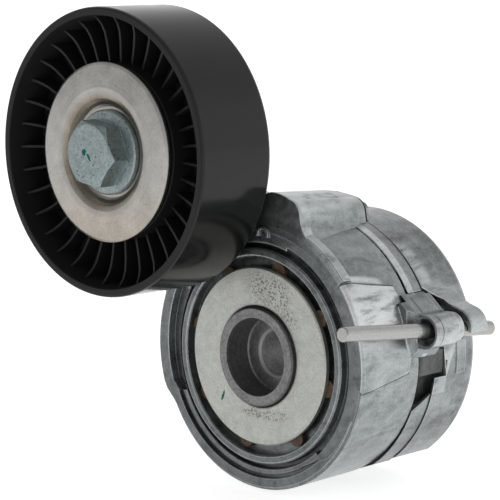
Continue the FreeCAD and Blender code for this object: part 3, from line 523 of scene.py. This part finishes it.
def turned_steel():
    """Grey phosphated pivot tube with fine turning marks, a speckled bore and a paler ring round it."""
    s = Shader("pivot_steel")
    radius, _, depth = s.around()
    marks = s.node("TexNoise", noise_dimensions="2D")
    joined = s.node("CombineXYZ")
    s.feed(joined.inputs[0], radius)
    s.feed(joined.inputs[1], depth)
    s.feed(marks.inputs["Vector"], joined.outputs[0])
    marks.inputs["Scale"].default_value = 4.0
    marks.inputs["Detail"].default_value = 4.0
    mark = marks.outputs["Fac"]
    clouds = s.noise(4.0, 3.0, 0.6)
    grain = s.noise(0.7, 4.0, 0.7)
    level = s.total(0.19, (clouds, 0.12), (mark, 0.16), (grain, 0.34))
    recess = s.all_of(s.step(radius, TUBE_RECESS_R + 0.5, TUBE_RECESS_R), s.step(depth, -1.0, 0.2))
    level = s.math("MULTIPLY", level, s.blend(recess, 1.0, 0.95))
    floor_edge = s.all_of(s.between(radius, TUBE_BORE_R + 0.3, TUBE_BORE_R + 1.4, 0.2),
                          s.step(depth, 6.0, 6.8))
    bore = s.step(radius, TUBE_BORE_R + 0.25, TUBE_BORE_R + 0.05)
    level = s.blend(floor_edge, level, 0.25)
    level = s.blend(bore, level, s.total(0.66, (grain, 1.2), (clouds, 0.3)))
    chamfer = s.all_of(s.step(radius, TUBE_CHAMFER_R - 0.1, TUBE_CHAMFER_R + 0.1),
                       s.step(depth, 0.2, -0.2))
    level = s.math("MULTIPLY", level, s.blend(chamfer, 1.0, 0.6))
    rough = s.total(0.45, (mark, 0.25))
    return s.finish(s.tinted(level, PLAIN), rough, 0.85, s.bump(mark, 0.03, 0.5, s.rounded(0.25)))


def moulded_black():
    """Pulley polymer: polished, scuffed belt surface, matt black inside, glossier rib edges with a painted
    highlight.
    """
    s = Shader("pulley_black")
    radius, _, depth = s.around(PULLEY_X, PULLEY_Z)
    polished = s.step(radius, PULLEY_R - 0.35, PULLEY_R - 0.1)
    smears = s.noise(12.0, 4.0, 0.6, s.moved(stretch=(1.0, 0.5, 1.0)), 1.0)
    scuffs = s.noise(1.2, 4.0, 0.7, s.moved(stretch=(0.15, 3.0, 0.15)))
    grain = s.noise(0.4, 3.0, 0.6)
    rib_edge_gloss_and_highlight = s.all_of(s.facing_front(), s.between(radius, RIB_START_R, PULLEY_R - 2.6, 0.2),
                        s.between(depth, PULLEY_FRONT + 2.0, PULLEY_FRONT + 11.0, 0.4))
    level = s.total(0.009, (smears, 0.005), (grain, 0.004))
    # Painted highlight: the rib edges are a little lighter than the web.
    level = s.blend(rib_edge_gloss_and_highlight, level, 0.012)
    inside = s.blend(rib_edge_gloss_and_highlight, s.total(0.62, (grain, 0.2)), 0.50)
    rough = s.blend(polished, inside, s.total(0.17, (smears, 0.24), (scuffs, 0.10)))
    height = s.math("MULTIPLY", grain, s.blend(polished, 1.0, 0.10))
    return s.finish(s.tinted(level, PLAIN), rough, 0.0, s.bump(height, 0.03, 0.5, s.rounded(0.25)), IOR=1.35)


def moulded(name, dark, light, gloss, size=2.5):
    """Plain moulded polymer or rubber with soft mottling and fine grain."""
    s = Shader(name)
    clouds = s.noise(size, 4.0, 0.6)
    grain = s.noise(0.25, 3.0, 0.6)
    colour = s.mix(s.step(clouds, 0.3, 0.7), dark, light)
    rough = s.blend(clouds, 1.0 - gloss, 0.85 - gloss * 0.6)
    return s.finish(colour, rough, 0.0, s.bump(grain, 0.03, 0.5, s.rounded(0.3)))


def ground_steel(name, level, roughness):
    """Hardened steel of the bearing and spring with faint streaks."""
    s = Shader(name)
    streaks = s.noise(0.8, 4.0, 0.6, s.moved(stretch=(1.0, 0.2, 1.0)))
    colour = s.tinted(s.total(level, (streaks, level * 0.4)), PLAIN)
    return s.finish(colour, s.total(roughness, (streaks, 0.12)), 1.0, s.bump(streaks, 0.01, 0.4))


def paint_nodes():
    """Gives every CAD node its finished material, smooth between the CAD's own sharp edges."""
    sheet = sheet_steel()
    pins = drawn_steel()
    bearing = ground_steel("bearing_steel", level=0.68, roughness=0.18)
    bush = moulded("bush_polymer", dark=(0.16, 0.12, 0.08), light=(0.26, 0.21, 0.14), gloss=0.45)
    rubber = moulded("seal_rubber", dark=(0.008, 0.008, 0.008), light=(0.02, 0.02, 0.02), gloss=0.3)
    washer = moulded("washer_brown", dark=(0.028, 0.014, 0.007), light=(0.085, 0.045, 0.02), gloss=0.5,
                     size=1.5)
    sleeve = moulded("sleeve_grey", dark=(0.045, 0.048, 0.046), light=(0.10, 0.105, 0.10), gloss=0.68)
    by_node = {
        "spring_case": cast_aluminium("cast_case", base=0.24, areas=case_areas),
        "arm": cast_aluminium("cast_arm", base=0.29, areas=arm_areas),
        "pivot_tube": turned_steel(),
        "front_plate": satin_plate(),
        "rear_thrust_ring": bush,
        "locating_dowel": pins,
        "torsion_spring": ground_steel("spring_steel", level=0.08, roughness=0.38),
        "pivot_bushing": bush,
        "thrust_washer": washer,
        "damping_sleeve": sleeve,
        "thread_insert": pins,
        "pulley_bolt": zinc_bolt(),
        "front_dust_shield": sheet,
        "rear_dust_shield": sheet,
        "bearing_inner_race": bearing,
        "bearing_outer_race": bearing,
        "bearing_balls": bearing,
        "bearing_cage": bush,
        "front_bearing_seal": rubber,
        "rear_bearing_seal": rubber,
        "pulley": moulded_black(),
        "lock_pin": pins,
    }
    for name, material in by_node.items():
        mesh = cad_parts[name].data
        mesh.materials.clear()
        mesh.materials.append(material)
        mesh.polygons.foreach_set("use_smooth", [True] * len(mesh.polygons))


# ---- Studio and camera ----

def floor():
    """Plain pale floor just under the object."""
    low = cad_bounds[0].z - 0.2 * MM
    bpy.ops.mesh.primitive_plane_add(size=FLOOR_SIZE, location=(0, 0, low))
    plane = bpy.context.object
    plane.name = "floor"
    s = Shader("floor_pale")
    level = s.total(FLOOR_LEVEL, (s.noise(400.0, 2.0), 0.03))
    material = s.finish(s.tinted(level, PLAIN), 0.95, Emission_Color=(1.0, 1.0, 1.0, 1.0),
                        Emission_Strength=FLOOR_GLOW)
    plane.data.materials.append(material)


def studio():
    """White tent: dimmer in front and overhead, bright behind the object, as a world gradient."""
    world = bpy.data.worlds.new("studio")
    world.use_nodes = True
    bpy.context.scene.world = world
    tree = world.node_tree
    direction = tree.nodes.new("ShaderNodeTexCoord").outputs["Generated"]
    parts = tree.nodes.new("ShaderNodeSeparateXYZ")
    tree.links.new(direction, parts.inputs[0])
    brightness = []
    for axis, low, high, start, end in (("Y", -0.8, 0.5, FRONT_LIGHT, BACK_LIGHT),
                                        ("Z", 0.25, 0.70, 1.0, HIGH_SHARE)):
        ramp = tree.nodes.new("ShaderNodeMapRange")
        ramp.interpolation_type = "SMOOTHSTEP"
        tree.links.new(parts.outputs[axis], ramp.inputs["Value"])
        for socket, value in (("From Min", low), ("From Max", high), ("To Min", start), ("To Max", end)):
            ramp.inputs[socket].default_value = value
        brightness.append(ramp.outputs["Result"])
    product = tree.nodes.new("ShaderNodeMath")
    product.operation = "MULTIPLY"
    for socket, value in zip(product.inputs, brightness):
        tree.links.new(value, socket)
    tree.links.new(product.outputs[0], tree.nodes["Background"].inputs["Strength"])
    tree.nodes["Background"].inputs["Color"].default_value = (1.0, 1.0, 1.0, 1.0)


def camera():
    """The view from the front right and a little above."""
    azimuth = math.radians(CAMERA_AZIMUTH)
    elevation = math.radians(CAMERA_ELEVATION)
    towards = Vector((math.sin(azimuth) * math.cos(elevation),
                      -math.cos(azimuth) * math.cos(elevation),
                      math.sin(elevation)))
    data = bpy.data.cameras.new("camera")
    data.lens = CAMERA_LENS
    data.sensor_width = SENSOR
    data.clip_start = 0.01
    data.clip_end = 100.0
    view = bpy.data.objects.new("camera", data)
    view.location = CAMERA_TARGET + towards * CAMERA_DISTANCE
    view.rotation_mode = "QUATERNION"
    view.rotation_quaternion = (-towards).to_track_quat("-Z", "Y")
    bpy.context.scene.collection.objects.link(view)
    bpy.context.scene.camera = view


bpy.context.scene.view_settings.view_transform = "Standard"
camera()
paint_nodes()
floor()
studio()
